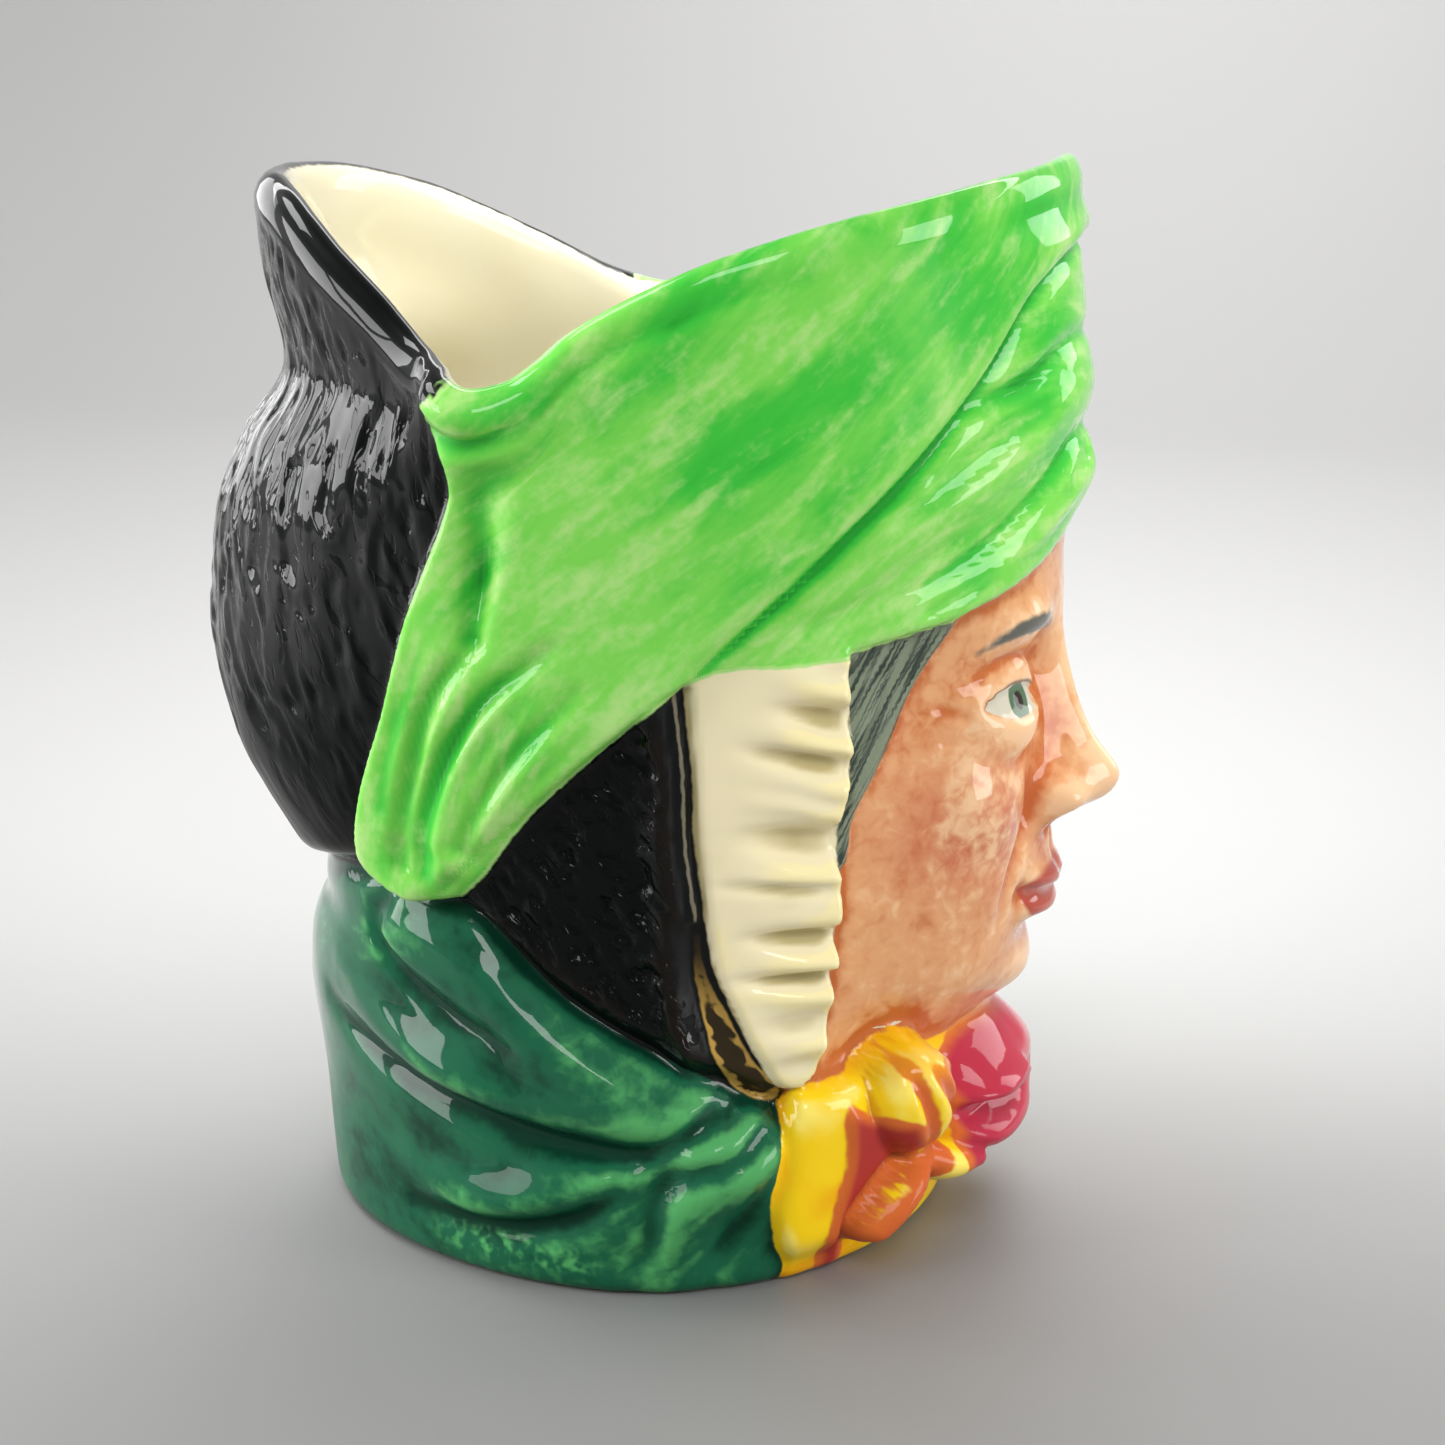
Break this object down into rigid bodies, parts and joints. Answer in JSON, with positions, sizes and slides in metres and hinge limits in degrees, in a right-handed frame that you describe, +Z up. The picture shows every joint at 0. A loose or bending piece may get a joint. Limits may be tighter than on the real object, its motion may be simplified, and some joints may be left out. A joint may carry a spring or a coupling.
{
  "type": "character jug",
  "caption": "Hand-painted earthenware jug shaped as an old woman's head in a head wrap, bonnet and shawl, open at the top, with a pouring lip and a loop handle.",
  "frame": {"origin": "middle of the flat underside", "axes": "+Z up; the figure looks along -Y, with the pouring lip at -X on its right and the handle at +X on its left"},
  "size_m": [0.1507, 0.1353, 0.1557],
  "materials": {
    "painted_glaze": "gloss"
  },
  "bodies": {
    "root": {"jug": "painted_glaze"}
  },
  "joints": []
}
